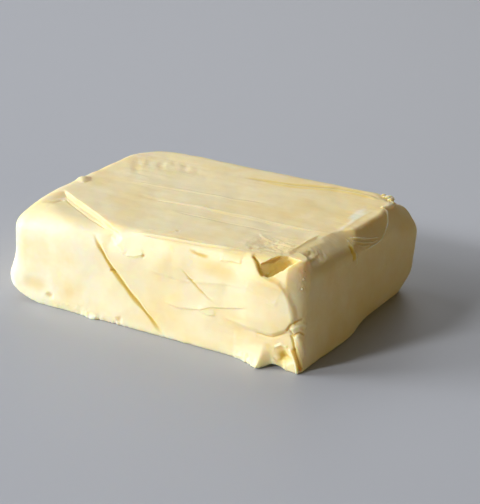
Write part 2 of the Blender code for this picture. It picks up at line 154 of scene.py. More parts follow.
def onFace(face, place):
    # a place on the block: two coordinates on a face, or three in space
    if len(place) == 3:
        return place
    first, second = place
    if face == "top":
        return (first, second, block["height"])
    if face == "front":
        lean = float(frontWall(np.array(first))) * second / block["height"]
        return (first, -0.5 * block["width"] + lean, second)
    if face == "right":
        lean = float(rightWall(np.array(first))) * second / block["height"]
        return (0.5 * block["length"] - lean, first, second)
    if face == "left":
        return (-0.5 * block["length"], first, second)
    return (first, 0.5 * block["width"] - wear["backLean"] * second / block["height"], second)


# The marks, area by area: face, depth, width, how finely the mesh is cut there, and the
# path. A path's pairs lie on the face, its threes are places in space. It is drawn left
# to right as the face is looked at, so the lifted or high side lies above it. Taper is the share
# of the path in which an end fades, reach how far a flap or ledge runs out; the last two settings
# say how strongly a ridge is painted pale (painted highlight) and the mark a deeper yellow (painted shade).


def newMark(kind, face, depth, width, grain, path, **settings):
    return {"kind": kind, "face": face, "depth": depth, "width": width, "grain": grain, "path": path,
            **settings}


groove, ridge, flap, ledge, sheet = (
    partial(newMark, kind) for kind in ("groove", "ridge", "flap", "ledge", "sheet"))

slippedCorner = [
    ledge("top", 1.4, 0.5, 0.36, reach=9.0, taper=0.1, yellow=0.35, path=(
        (-49.0, -17.6), (-40.0, -23.0), (-24.5, -31.0), (-15.2, -37.0), (-10.4, -38.1108, 29.4))),
    groove("top", 0.32, 0.6, 0.3, path=((-45.4, -21.7), (-32.7, -29.2), (-23.3, -34.2), (-17.6, -37.6))),
    flap("front", 0.25, 0.4, 0.35, reach=1.4, path=((-15.6, 29.5), (-12.2, 26.9), (-9.4, 24.2))),
    groove("top", 0.3, 1.3, 0.8, path=((-50.4, -27.6), (-46.2, -26.6), (-45.2, -22.6))),
]

knifeCuts = [
    groove("front", 0.7, 0.85, 0.32, taper=0.22, swell=0.9, lip=0.15, yellow=1.2, path=(
        (-23.0, 30.4), (-19.2, 25.6), (-16.4, 21.8), (-13.7, 18.6), (-9.9, 14.9), (-6.9, 11.9), (-3.1, 8.7),
        (0.8, 5.5), (5.6, 1.0), (7.0, -0.6))),
    groove("front", 0.6, 0.5, 0.35, path=((-15.0, 18.2), (-13.6, 18.3), (-12.9, 17.6))),
    groove("front", 0.38, 0.4, 0.3, taper=0.3, swell=0.8, lip=0.1, yellow=1.5, path=(
        (10.6, 24.8), (15.2, 21.3), (18.6, 18.8), (21.4, 17.0), (24.8, 15.3))),
    groove("front", 0.35, 0.3, 0.3, path=((13.6, 21.6), (14.9, 21.4), (16.4, 21.6))),
    flap("front", 0.33, 0.3, 0.32, reach=2.6, path=(
        (5.4, 12.0), (11.7, 11.5), (18.9, 12.7), (22.4, 14.2), (27.7, 15.1), (36.0, 16.9))),
    flap("front", 0.25, 0.3, 0.32, reach=1.6, path=((18.0, 12.4), (21.6, 11.5), (24.6, 12.0))),
    groove("front", 0.28, 0.6, 0.32, taper=0.3, yellow=2.0, path=(
        (13.0, 31.0), (16.4, 30.1), (21.2, 29.7))),
    flap("front", 0.25, 0.5, 0.32, reach=1.0, path=((-8.8, 24.6), (-5.6, 24.9), (-2.4, 26.2))),
    flap("front", 0.25, 0.35, 0.4, reach=2.4, path=((24.0, 29.6), (28.6, 30.2), (32.0, 30.0))),
    flap("front", 0.2, 0.4, 0.5, reach=5.0, path=((-2.0, 21.6), (12.0, 20.4), (28.0, 22.6), (36.0, 22.8))),
]

smearedPillow = [
    # a tongue of fat pushed over the near corner: high inside its edge, melting away to the left
    sheet("front", 0.76, 1.8, 0.4, fade=(27.0, 38.0), taper=0.05, path=(
        (22.0, 12.6), (30.0, 11.2), (33.7, 10.4), (36.9, 10.4), (39.7, 10.5), (42.5, 10.1), (44.5, 10.2),
        (47.2, 11.5), (49.4, -37.8, 12.6), (50.0, -37.6, 13.7), (50.9, -37.0, 15.0), (51.3, -36.4, 16.6),
        (50.8, -36.1, 19.0), (49.8, -36.2, 21.4), (48.6, -36.2, 23.8), (47.2, -36.1, 25.4),
        (45.3, -35.8, 26.6), (43.4, -35.7, 27.1), (41.0, -35.8, 27.4), (39.2, -35.5, 28.0),
        (37.6, -34.9, 29.5), (36.1, -33.9, 31.3), (34.4, -33.0, 32.1), (32.8, -31.4, 32.4))),
    groove("space", 0.15, 0.8, 0.35, path=(
        (41.0, -35.8, 27.0), (43.6, -35.7, 26.8), (45.8, -35.8, 26.2), (47.8, -36.1, 24.6),
        (49.2, -36.2, 22.6), (50.3, -36.1, 20.2))),
    groove("front", 0.25, 0.55, 0.32, yellow=1.8, path=(
        (38.6, 9.8), (42.5, 9.5), (44.9, 9.6), (47.4, 10.9), (49.4, 12.2))),
    flap("front", 0.2, 0.9, 0.6, reach=3.0, path=((34.0, 23.6), (40.0, 22.0), (46.0, 19.6))),
    ridge("front", 0.2, 1.2, 0.4, taper=0.3, dry=1.5, path=(
        (26.0, 12.8), (31.0, 11.8), (35.0, 11.4), (39.0, 11.2))),
    # the crack that runs up out of the chip
    groove("space", 0.9, 0.5, 0.3, path=(
        (34.4, -33.0, 32.0), (36.5, -34.0, 31.1), (37.4, -34.5, 30.1), (38.2, -35.1, 28.9),
        (39.2, -35.5, 27.9), (40.3, -35.7, 27.3))),
]

shadedBands = [
    # shallow hollows painted a deeper yellow: painted shade for the soft shade in these bands
    groove("front", 0.1, 3.0, 0.8, taper=0.45, yellow=3.6, path=(
        (-53.4, 5.6), (-48.0, 6.9), (-42.0, 7.2), (-36.0, 7.6))),
    groove("front", 0.15, 2.8, 0.9, taper=0.45, yellow=3.0, path=(
        (10.0, 26.8), (19.6, 27.2), (28.0, 26.0), (37.0, 24.4))),
]

foldedFoot = [
    groove("space", 0.42, 0.45, 0.3, yellow=1.4, path=(
        (49.2, -37.9, 12.2), (50.0, -37.6, 13.7), (50.7, -37.1, 14.9), (51.6, -36.3, 15.8),
        (53.0, -34.4, 16.4))),
    groove("space", 0.45, 0.45, 0.3, yellow=1.4, path=(
        (50.0, -37.7, 13.2), (51.2, -37.8, 12.1), (51.8, -37.8, 11.6), (52.6, -37.3, 12.4),
        (53.2, -36.6, 12.6), (54.2, -35.0, 11.3))),
    ridge("space", 0.4, 1.2, 0.32, path=(
        (50.6, -37.6, 12.9), (51.8, -36.8, 14.2), (53.0, -35.2, 14.6), (53.9, -34.0, 13.6))),
    groove("space", 0.65, 0.5, 0.28, yellow=1.2, path=(
        (50.4, -38.0, 11.9), (51.3, -38.0, 10.6), (51.9, -38.2, 9.2), (52.2, -38.4, 7.9),
        (52.5, -38.5, 6.6))),
    groove("space", 0.75, 1.1, 0.3, path=(
        (52.0, -38.5, 8.0), (53.2, -38.5, 5.6), (54.1, -38.2, 3.4), (54.7, -38.0, 0.4))),
    ridge("space", 0.3, 1.3, 0.35, path=(
        (52.4, -37.6, 11.8), (53.7, -37.2, 9.6), (54.3, -36.6, 6.8), (54.6, -36.4, 4.2))),
    ridge("space", 0.5, 0.55, 0.28, path=(
        (50.6, -38.6, 7.4), (52.1, -38.7, 5.5), (53.2, -38.9, 2.9), (53.8, -38.9, -0.4))),
    ridge("front", 0.35, 0.8, 0.35, path=((45.6, 6.6), (47.6, 7.8), (50.0, 7.6))),
    flap("front", 0.16, 2.0, 0.6, reach=3.0, path=((31.0, 6.0), (38.0, 7.6), (47.0, 8.0))),
]

topDrag = [
    ridge("top", 0.18, 0.55, 0.35, dry=2.0, path=(
        (-21.0, -8.7), (-1.3, -6.9), (17.2, -6.0), (35.5, -5.9), (45.5, -4.6))),
    ledge("top", 0.2, 0.6, 0.6, reach=12.0, path=((-24.0, -8.0), (0.0, -7.6), (30.0, -6.9), (44.0, -5.6))),
    ridge("top", 0.25, 0.6, 0.35, dry=1.5, path=(
        (-9.0, -36.8), (-1.6, -35.4), (7.2, -34.5), (15.8, -33.5), (24.2, -32.5), (33.5, -31.2))),
    groove("top", 0.16, 0.6, 0.35, path=(
        (-4.0, -36.6), (7.2, -35.4), (15.8, -34.4), (27.0, -33.0), (33.0, -31.9))),
    groove("top", 0.22, 0.7, 0.5, path=((-6.0, -34.2), (6.0, -33.4), (18.0, -32.4))),
    ridge("top", 0.35, 1.5, 0.6, yellow=1.6, path=(
        (2.0, 25.6), (13.2, 27.0), (29.4, 32.0), (40.6, 32.2), (46.4, 30.2))),
    groove("top", 0.25, 1.3, 0.6, yellow=2.2, path=(
        (-6.0, 25.6), (12.0, 28.6), (28.0, 34.0), (40.0, 34.6))),
    ridge("top", 0.15, 0.9, 0.6, path=((-34.0, 2.0), (-10.0, 4.6), (16.0, 6.4))),
    groove("top", 0.15, 0.7, 0.6, path=((-6.0, -15.0), (12.0, -14.0), (30.0, -13.6))),
    groove("top", 0.3, 0.6, 0.4, path=((-2.4, -31.9), (1.6, -31.0), (4.6, -29.6))),
    ridge("top", 0.25, 0.7, 0.4, path=((-4.0, -32.8), (0.0, -32.3), (4.0, -31.0))),
]

wrinkles = [
    # ripples left by a push of the thumb
    groove("top", depth, width, 0.7, taper=0.45, path=(
        (startX, startY),
        (startX + bend, startY - 0.5 * length),
        (startX + 0.62 * length, startY - length)))
    for startX, startY, bend, length, depth, width in (
        (-48.2, 26.6, 5.4, 21.0, 0.21, 2.4),
        (-43.4, 26.2, 2.2, 10.0, 0.12, 1.8),
        (-39.0, 28.6, 2.8, 14.0, 0.19, 2.1),
        (-35.4, 30.2, 1.8, 8.0, 0.13, 1.6),
        (-31.0, 29.4, 3.6, 11.0, 0.16, 2.1),
        (-25.6, 27.0, 4.6, 9.0, 0.1, 2.0))
]

tornRim = [
    # the pale band along the rim is painted highlight
    ridge("top", 0.1, 2.8, 0.35, taper=0.45, dry=6.5, path=(
        (46.0, 4.0), (45.2, 12.0), (44.9, 18.0), (45.8, 25.0))),
    ridge("top", 0.1, 1.4, 0.35, taper=0.3, dry=4.5, path=(
        (45.6, -9.0), (46.9, -1.0), (47.0, 7.0), (46.8, 14.0), (47.6, 20.0), (48.6, 24.6))),
    ridge("space", 0.45, 0.9, 0.35, dry=2.0, path=(
        (49.0, 23.6, 32.0), (49.7, 27.0, 31.6), (49.4, 31.4, 31.2))),
    flap("top", 0.2, 0.9, 0.4, reach=1.6, path=(
        (27.0, -16.4), (29.4, -18.6), (32.3, -20.0), (35.9, -20.9), (40.0, -21.3), (42.6, -21.9))),
    ridge("top", 0.15, 0.6, 0.35, path=((42.2, -25.4), (42.9, -20.1), (42.9, -14.0), (43.4, -7.6))),
    groove("space", 0.28, 1.9, 0.45, path=((44.2, -27.4, 31.8), (44.4, -19.6, 31.8), (45.0, -9.4, 31.6))),
    groove("top", 0.25, 0.5, 0.35, path=((30.4, -29.6), (34.0, -27.0), (36.4, -23.6))),
    flap("space", 0.3, 0.4, 0.35, reach=1.0, path=(
        (48.8, -26.4, 30.4), (49.4, -22.8, 30.4), (49.0, -19.2, 30.9), (47.6, -17.6, 31.4))),
    groove("space", 0.3, 0.5, 0.35, path=((47.0, -25.4, 31.2), (47.8, -22.6, 31.2), (47.2, -20.0, 31.4))),
]

clingingSkin = [
    # a thin film wiped over the rim, with strings drawn out of its torn foot
    flap("space", 0.2, 0.3, 0.3, reach=2.4, path=(
        (53.9, 2.4, 25.9), (54.4, 5.8, 26.2), (54.7, 9.0, 26.2), (54.8, 12.3, 26.3), (54.5, 15.2, 27.4),
        (53.8, 17.8, 28.5), (53.0, 20.3, 30.0), (51.6, 22.4, 31.2), (49.6, 25.4, 32.0))),
    ridge("space", 0.42, 0.34, 0.24, dry=2.0, path=(
        (53.9, 2.4, 26.0), (54.4, 5.8, 26.4), (54.7, 9.0, 26.4), (54.8, 12.3, 26.6), (54.4, 15.2, 27.6),
        (53.6, 17.8, 28.7), (52.8, 20.3, 30.1), (51.4, 22.4, 31.2), (49.6, 25.0, 32.0))),
    ridge("space", 0.36, 0.28, 0.2, dry=2.0, path=(
        (50.0, -2.0, 30.9), (51.6, 0.0, 30.4), (52.9, 3.4, 29.2), (53.9, 7.8, 28.2), (54.6, 11.8, 27.4))),
    ridge("space", 0.3, 0.25, 0.2, dry=2.0, path=(
        (50.8, -1.8, 30.2), (52.2, -0.6, 29.4), (53.3, 2.2, 28.3), (54.2, 7.1, 27.0), (54.7, 11.2, 27.0))),
    ridge("space", 0.28, 0.25, 0.2, dry=2.0, path=(
        (51.4, -0.8, 30.6), (52.2, 1.2, 30.4), (53.4, 5.0, 29.2))),
    ridge("space", 0.28, 0.25, 0.2, dry=2.0, path=(
        (52.8, -1.0, 28.4), (53.7, 1.6, 27.3), (54.4, 5.4, 26.8))),
    ridge("space", 0.14, 0.2, 0.22, path=((53.2, 0.4, 27.0), (53.8, 3.0, 26.6))),
    ridge("space", 0.3, 0.32, 0.24, taper=0.3, path=(
        (49.6, -2.2, 31.0), (51.2, -2.8, 29.8), (52.6, -3.4, 28.0), (53.3, -3.6, 26.6))),
    ridge("space", 0.5, 0.55, 0.26, yellow=0.9, path=(
        (53.0, -3.7, 27.4), (53.6, -3.5, 25.4), (54.0, -3.2, 22.8))),
    groove("space", 0.75, 0.8, 0.3, yellow=1.5, path=(
        (51.6, -4.2, 29.0), (52.9, -4.9, 27.2), (53.6, -4.7, 24.6))),
]

hiddenSides = [
    groove("back", 0.5, 0.6, 0.5, path=((30.0, 20.0), (8.0, 17.0), (-14.0, 18.6))),
    flap("back", 0.4, 0.4, 0.5, reach=3.0, path=((12.0, 9.0), (-2.0, 10.6), (-20.0, 9.4))),
    groove("left", 0.6, 0.7, 0.5, path=((18.0, 22.0), (4.0, 15.0), (-10.0, 11.0))),
    flap("left", 0.35, 0.4, 0.5, reach=2.4, path=((10.0, 7.0), (-6.0, 8.4), (-20.0, 7.2))),
]

dents = [
    # face, place on it, radius, depth (below zero it bulges) and grain
    ("front", (48.0, 4.9), 2.6, 0.75, 0.32),
    ("front", (49.5, 4.2), 2.5, 0.8, 0.32),
    ("front", (47.6, 2.0), 2.0, 0.5, 0.35),
    ("front", (-39.0, 4.2), 1.5, 0.45, 0.4),
    ("front", (-11.2, 2.2), 1.5, 0.4, 0.4),
    ("front", (-2.4, 25.5), 0.7, 0.55, 0.32),
    ("front", (29.8, 30.3), 0.8, 0.5, 0.35),
    ("top", (-45.6, -29.6), 1.6, 0.4, 0.45),
    ("top", (4.4, -28.6), 0.7, 0.4, 0.4),
    ("top", (-50.0, -5.0), 3.0, -0.9, 0.5),
    ("right", (16.2, 16.1), 0.7, -0.35, 0.35),
    ("front", (42.0, 18.5), 10.0, -0.35, 0.9),
    ("top", (35.0, -24.0), 9.0, 0.35, 0.5),
]

markAreas = [slippedCorner, knifeCuts, smearedPillow, shadedBands, foldedFoot, topDrag, wrinkles,
             tornRim, clingingSkin, hiddenSides]
marks = [mark for area in markAreas for mark in area]

relief = {
    "taper": 0.12,                  # of a mark's length, over which each end fades
    "shadeReach": 1.7,              # widths from its path to where a mark's painted shade ends
    "swellNoise": (6.0, (3.0, 1.0)),            # how often a swelling cut opens
    "lipPlace": 1.5,                # widths from its path to a cut's lip, and the lip's own width
    "lipWidth": 0.6,
    "flapReach": 4.0,               # reaches from its edge to where a flap ends
    "offSurface": 4.5,              # mm between a path and the surface that it still marks
    "margin": 3.0,                  # mm around a path's box that its mark can touch
    "sheetMargin": 14.0,
    "dentCurve": 1.5,
    "dentRim": 1.4,                 # radii to where a dent's rim still wanders, and how much
    "dentWander": 0.5,
    "dentNoise": 0.8,
    "shadedRadius": 3.0,           # wider dents get no painted shade
    "onSkin": 0.05,                 # mm from the body's own surface that a place is still on it
    "deepest": 0.9,                 # mm of depth that gets the full painted shade, and of ridge height the full painted highlight
    "fullHighlight": 0.6,
}

feet = {
    "splays": (
        {"x": 41.6, "left": 15.0, "right": 3.6, "height": 8.0, "spread": 4.0},
        {"x": -22.0, "left": 8.0, "right": 3.0, "height": 2.2, "spread": 1.5},
    ),
    "leftCurve": 2.2,               # how a splay swells from its left end, and towards the plate
    "footCurve": 1.6,
    "frontBand": (5.0, 1.5),        # mm inside the wall where the foot starts to move, and moves fully
    "gapX": 46.6,
    "gapHalfLength": 3.4,
    "gapHeight": 4.0,
    "gapRise": 1.1,
    "ragged": 0.18,                 # how torn the loose edge is
    "raggedNoise": ((0.9, (4.0, 2.0)), (2.3, (9.0, 5.0))),      # scale along X, where it is read
    "edgeRagged": 0.3,              # mm the whole front foot wanders in and out
    "edgeHeight": 1.6,
    "lift": 0.8,                    # how far the lower edge stands off the plate at most
    "liftHeight": 6.0,
    "liftNoise": ((1.0, 0.06, 6.0), (0.25, 0.24, 2.0)),         # share, scale, where it is read
    "liftFrom": (0.05, 0.5),        # the noise values between which it rises
    "liftBand": (1.0, 7.0),
    "rightSwell": 0.7,              # the right foot swells, then is tucked in towards the back
    "rightSwellY": -13.0,
    "rightSwellHalf": 13.0,
    "rightTuck": 2.2,
    "rightTuckY": (-8.0, 10.0),
    "rightHeight": 7.0,
    "rightBand": (9.0, 1.0),
    "lowCurve": 1.5,                # how the lift and the right foot fade upwards
}

chip = {
    # the torn-out mouth, from the crack down to its low tip and back along the lip
    "mouth": ((37.4, -34.5, 30.1), (38.2, -35.1, 28.9), (39.2, -35.6, 27.9), (40.3, -35.8, 27.3),
              (41.4, -35.8, 27.0), (42.4, -35.5, 27.7), (44.0, -34.9, 28.8), (45.7, -34.3, 29.9),
              (47.1, -33.2, 30.9), (48.3, -31.8, 31.7), (49.2, -29.9, 32.6), (46.0, -28.9, 33.0),
              (43.7, -28.5, 33.0), (42.2, -30.4, 32.9), (41.2, -32.4, 32.6)),
    "outside": ((42.0, -40.0, 31.5), (46.0, -37.0, 35.5)),
    "inside": ((41.3, -34.0, 26.0), (45.0, -31.4, 26.4), (47.8, -29.8, 28.4)),
    "grain": 0.7,
    "rounds": 4,
    "roughness": 0.22,
    "roughScale": 0.8,
    "fineShare": 0.5,
    "fineScale": 2.7,
    # painted shade: inside the chip the fat is painted a deeper yellow, more so further in
    "yellowAtLip": 0.3,
    "yellowInside": 0.75,
    "yellowDepth": 5.0,             # mm for a full rise of that painted shade
}

crumbs = {
    "subdivisions": 4,
    "noiseStep": 5.0,
    "roughness": 0.34,
    "swellScale": 1.2,
    "knobScale": 2.3,
    "knobShare": 0.4,
    # painted highlight: crumbs are painted paler the higher they stand
    "highlightHeight": 0.6,
    "highlightMost": 0.7,
    "pieces": (                     # place, size and turn
        ((45.2, 36.4, 31.3), (2.2, 1.5, 1.0), 24.0),
        ((43.4, 37.0, 31.5), (1.2, 0.9, 0.8), 70.0),
        ((47.1, 35.1, 31.1), (1.0, 0.9, 0.9), 15.0),
        ((48.9, 29.6, 31.4), (1.3, 1.9, 1.1), -18.0),
        ((48.6, 33.0, 31.0), (1.1, 1.2, 0.8), 33.0),
        ((50.2, -29.4, 31.0), (0.6, 0.5, 0.4), 40.0),
        ((51.0, -31.0, 29.6), (0.35, 0.45, 0.4), 10.0),
        ((51.6, -32.2, 27.8), (0.3, 0.3, 0.4), 80.0),
        ((51.8, -33.4, 25.2), (0.3, 0.3, 0.35), 30.0),
    ),
}

tears = {
    # rough patches where fat was picked or torn off: centre and half size in mm, height and
    # scale of the crumbs, grain, and how strongly their crumbs are painted pale as painted highlight
    "patches": (
        ((36.0, -24.5, 32.4), (9.0, 8.5, 4.0), 0.22, 0.75, 0.5, 3.0),
        ((48.2, -21.5, 30.6), (3.6, 6.0, 2.8), 0.3, 0.5, 0.4, 3.0),
        ((51.4, -32.0, 27.5), (2.0, 2.6, 5.5), 0.1, 1.2, 0.4, 2.0),
        ((-27.0, -39.0, 1.0), (17.0, 4.0, 2.4), 0.3, 0.45, 0.55, 2.5),
        ((36.0, -41.0, 0.8), (7.0, 4.0, 2.2), 0.35, 1.0, 0.5, 2.5),
    ),
    "noiseStart": (3.0, 8.0, 1.0),
    "fineShare": 0.55,
    "fineScale": 2.3,
    "level": 0.15,
}

unevenness = {
    # lumps: height in mm, scale and where the noise starts; streaks the knife drew along X:
    # height, scale along and scale across
    "lumps": (
        (0.28, 0.055, (0.0, 0.0, 0.0)),
        (0.14, 0.16, (31.0, 7.0, 3.0)),
        (0.08, 0.3, (5.0, 2.0, 9.0)),
    ),
    "streaks": ((0.09, 0.035, 0.42), (0.035, 0.07, 1.1)),
    "plateBand": (0.2, 3.0),        # it fades out towards the plate
}

refining = {
    "rounds": 3,
    "near": 0.45,                   # of an edge's length, from there to the mark
    "widths": 1.3,                  # of a mark, to each side of its path
    "margin": 3.0,
    "spots": (                      # centre, radius and grain at the chip and the smeared foot
        (np.mean(chip["mouth"], axis=0), 8.0, 0.5),
        ((43.0, -39.5, 2.0), 10.0, 0.5),
    ),
}


def cutPlaces(low, high):
    half = 0.5 * (high - low)
    near = [step for step in block["edgeSteps"] if step < half - block["edgeSpare"]]
    places = [low + step for step in near] + [high - step for step in near]
    innerLow, innerHigh = low + near[-1], high - near[-1]
    count = max(1, round((innerHigh - innerLow) / block["gridSpacing"]))
    places += [between(innerLow, innerHigh, index / count) for index in range(1, count)]
    return sorted(places)


def griddedBox():
    mesh = bmesh.new()
    bmesh.ops.create_cube(mesh, size=1.0)
    bmesh.ops.scale(mesh, vec=(block["length"], block["width"], block["height"]), verts=mesh.verts)
    bmesh.ops.translate(mesh, vec=(0.0, 0.0, 0.5 * block["height"]), verts=mesh.verts)
    halfLength, halfWidth = 0.5 * block["length"], 0.5 * block["width"]
    for axis, low, high in ((Vector((1, 0, 0)), -halfLength, halfLength),
                            (Vector((0, 1, 0)), -halfWidth, halfWidth),
                            (Vector((0, 0, 1)), 0.0, block["height"])):
        for place in cutPlaces(low, high):
            everything = mesh.verts[:] + mesh.edges[:] + mesh.faces[:]
            bmesh.ops.bisect_plane(mesh, geom=everything, plane_co=axis * place, plane_no=axis)
    return mesh


def cornerFrame(points):
    # the corner a place belongs to: its side of both axes, its radius, how far the place
    # lies beyond the centre of its arc, and whether it does so both ways
    z = points[:, 2]
    near = between(block["nearCornerFoot"], block["nearCorner"], blend(z, *block["nearCornerChange"]))
    rising = blend(z, *block["backRightCornerChange"])
    back = between(block["backRightCornerFoot"], block["backRightCorner"], rising)
    sides = np.where(points[:, :2] < 0.0, -1.0, 1.0)
    radius = np.where(
        sides[:, 0] > 0.0,
        np.where(sides[:, 1] < 0.0, near, back),
        np.where(sides[:, 1] < 0.0, block["frontLeftCorner"], block["backLeftCorner"]))
    halves = 0.5 * np.array([block["length"], block["width"]])
    over = np.abs(points[:, :2]) - (halves - radius[:, None])
    return sides, radius, over, np.all(over > 0.0, axis=1)


def cornersRounded(points):
    # upright corners: each square corner of the grid is drawn onto a quarter disc
    sides, _, over, inside = cornerFrame(points)
    reach = over.max(axis=1) / np.maximum(np.hypot(over[:, 0], over[:, 1]), tiny)
    result = points.copy()
    result[inside, :2] += (sides * over * (reach - 1.0)[:, None])[inside]
    return result


def wallDistance(points):
    # how far inside the upright wall a place lies, and the way out through it
    sides, radius, over, inCorner = cornerFrame(points)
    size = np.maximum(np.hypot(over[:, 0], over[:, 1]), tiny)
    distance = radius - np.where(inCorner, size, over.max(axis=1))
    alongX = over[:, 0] > over[:, 1]
    straight = np.stack([alongX, ~alongX], axis=1)
    return distance, sides * np.where(inCorner[:, None], over / size[:, None], straight)


def rimsRounded(points):
    # top and bottom edges, each side with its own radius
    distance, outward = wallDistance(points)
    shareX, shareY = outward[:, 0] ** 2, outward[:, 1] ** 2
    slumped = 1.0 - blend(points[:, 0], *block["topFrontChange"])
    topFront = between(block["topFront"], block["topFrontLeft"], slumped)
    topX = np.where(outward[:, 0] > 0.0, block["topRight"], block["topLeft"])
    topY = np.where(outward[:, 1] > 0.0, block["topBack"], topFront)
    result = points.copy()
    rims = ((topX * shareX + topY * shareY, block["height"] - points[:, 2], 1.0),
            (np.full(len(points), block["underside"]), points[:, 2], -1.0))
    for radius, depth, upward in rims:
        inward = (radius - distance) / radius
        height = (radius - depth) / radius
        chosen = (inward > 0.0) & (height > 0.0)
        size = np.maximum(np.hypot(inward, height), tiny)
        shift = (radius - radius * inward / size) - distance
        newDepth = radius - radius * height / size
        result[chosen, :2] -= (outward * shift[:, None])[chosen]
        result[chosen, 2] -= (upward * (newDepth - depth))[chosen]
    return result


def cornerShaved(points):
    # the near upright corner was shaved with the knife: its arc is pulled in to the chord
    sides, _, over, inside = cornerFrame(points)
    inside &= (sides[:, 0] > 0.0) & (sides[:, 1] < 0.0)
    angle = np.arctan2(np.maximum(over[:, 1], tiny), np.maximum(over[:, 0], tiny))
    chord = math.sqrt(0.5) / np.cos(angle - 0.25 * math.pi)
    shave = block["nearShave"] * blend(points[:, 2], *block["nearShaveChange"])
    result = points.copy()
    result[inside, :2] += (sides * over * (shave * (chord - 1.0))[:, None])[inside]
    return result


def slipDistance(points):
    start = np.array(wear["slipStart"])
    along = np.array(wear["slipEnd"]) - start
    along = along / np.linalg.norm(along)
    offset = points[:, :2] - start
    return offset[:, 0] * along[1] - offset[:, 1] * along[0]


def shoulder(z, drop, curve):
    # how far a place lies up the worn edge that starts this drop below the top
    return np.clip(1.0 - (block["height"] - z) / drop, 0.0, 1.0) ** curve


def wornDown(points):
    result = points.copy()
    x, y, z = points[:, 0], points[:, 1], points[:, 2]
    halfLength, halfWidth = 0.5 * block["length"], 0.5 * block["width"]
    rise = z / block["height"]
    toFront = progress(-y, -wear["frontFrom"], halfWidth)
    toRight = progress(x, wear["rightFrom"], halfLength)
    toLeft = progress(-x, wear["leftFrom"], halfLength)
    toBack = progress(y, wear["backFrom"], halfWidth)

    frontOver = shoulder(z, wear["frontShoulderDrop"], wear["frontShoulderCurve"])
    result[:, 1] += (frontWall(x) * rise + wear["frontShoulderInset"] * frontOver) * toFront

    torn = blend(y, *wear["tearStart"]) * (1.0 - blend(y, *wear["tearEnd"]))
    tornAway = wear["tearInset"] * torn * shoulder(z, wear["tearDrop"], wear["tearCurve"])
    rearward = blend(y, *wear["backShoulderChange"])
    drop = wear["rightShoulderDrop"] + wear["backShoulderDrop"] * rearward
    inset = wear["rightShoulderInset"] * (1.0 - blend(-y, *wear["rightShoulderEnd"]))
    inset += wear["backShoulderInset"] * rearward
    rightOver = inset * shoulder(z, drop, wear["rightShoulderCurve"])
    result[:, 0] -= (rightWall(y) * rise + rightOver + tornAway) * toRight

    result[:, 1] -= wear["backLean"] * rise * toBack

    belly = np.exp(-(((z - wear["leftBulgeHeight"]) / wear["leftBulgeSpread"]) ** 2))
    belly *= np.clip(z / wear["leftBulgeFoot"], 0.0, 1.0)
    nearer = 1.0 - blend(y, *wear["leftBulgeChange"])
    result[:, 0] += (wear["leftLean"] - wear["leftBulge"] * belly * nearer) * toLeft ** 2

    slipped = np.clip(slipDistance(points) - wear["slipMargin"], 0.0, None)
    result[:, 2] -= wear["slipSlope"] * slipped * rise ** 2

    backCorner = np.hypot(x - halfLength, y - halfWidth)
    sagging = 1.0 - blend(backCorner, *wear["backRightSagReach"])
    result[:, 2] -= wear["backRightSag"] * sagging * rise ** 3

    leftCorner = np.hypot(x + halfLength, y + halfWidth)
    sagging = 1.0 - blend(leftCorner, *wear["cornerSagReach"])
    result[:, 2] -= wear["cornerSag"] * sagging * rise ** 2
    lift = np.clip(1.0 - leftCorner / wear["cornerLiftReach"], 0.0, 1.0) ** wear["cornerLiftCurve"]
    result[:, 2] += wear["cornerLift"] * lift * (1.0 - rise)
    return result


def noiseAlong(values, scale, start):
    # noise read along a line that starts at these two coordinates
    return np.array([noise.noise(Vector((value * scale, *start))) for value in values])


def lowness(points, height):
    # 1 on the plate, 0 from this height up
    return np.clip(1.0 - points[:, 2] / height, 0.0, 1.0)


def splayedOut(points):
    # the foot smeared out over the plate, with a torn loose edge and a gap beside it
    result = points.copy()
    x, y = points[:, 0], points[:, 1]
    inside, full = feet["frontBand"]
    atFront = blend(-y, 0.5 * block["width"] - inside, 0.5 * block["width"] - full)
    torn = sum(noiseAlong(x, scale, start) for scale, start in feet["raggedNoise"])
    for splay in feet["splays"]:
        swelling = progress(x - splay["x"], -splay["left"], 0.0) ** feet["leftCurve"]
        window = swelling * smooth(1.0 - np.clip(x - splay["x"], 0.0, None) / splay["right"])
        low = lowness(points, splay["height"]) ** feet["footCurve"]
        ragged = 1.0 + feet["ragged"] * torn * low ** 4
        result[:, 1] -= splay["spread"] * window * low * atFront * ragged
    result[:, 1] -= feet["edgeRagged"] * torn * lowness(points, feet["edgeHeight"]) * atFront
    window = np.clip(1.0 - ((x - feet["gapX"]) / feet["gapHalfLength"]) ** 2, 0.0, 1.0)
    result[:, 2] += feet["gapRise"] * window * lowness(points, feet["gapHeight"]) * atFront

    inside, full = feet["rightBand"]
    atRight = blend(x, 0.5 * block["length"] - inside, 0.5 * block["length"] - full)
    low = lowness(points, feet["rightHeight"]) ** feet["lowCurve"]
    away = (y - feet["rightSwellY"]) / feet["rightSwellHalf"]
    outward = feet["rightSwell"] * np.clip(1.0 - away ** 2, 0.0, 1.0)
    outward -= feet["rightTuck"] * blend(y, *feet["rightTuckY"])
    result[:, 0] += outward * low * atRight
    return result


def lifted(points, flat):
    # the lower edge leaves the plate here and there, as warm fat was pressed down by hand
    distance, _ = wallDistance(flat)
    wave = np.zeros(len(flat))
    for share, scale, level in feet["liftNoise"]:
        wave += share * np.array([noise.noise(Vector((x * scale, y * scale, level))) for x, y, _ in flat])
    atEdge = 1.0 - blend(distance, *feet["liftBand"])
    low = lowness(flat, feet["liftHeight"]) ** feet["lowCurve"]
    result = points.copy()
    result[:, 2] += feet["lift"] * blend(wave, *feet["liftFrom"]) * atEdge * low
    return result


def shaped(points):
    return lifted(splayedOut(wornDown(cornerShaved(rimsRounded(cornersRounded(points))))), points)


def pathPlaces(mark):
    return np.array([onFace(mark["face"], place) for place in mark["path"]])


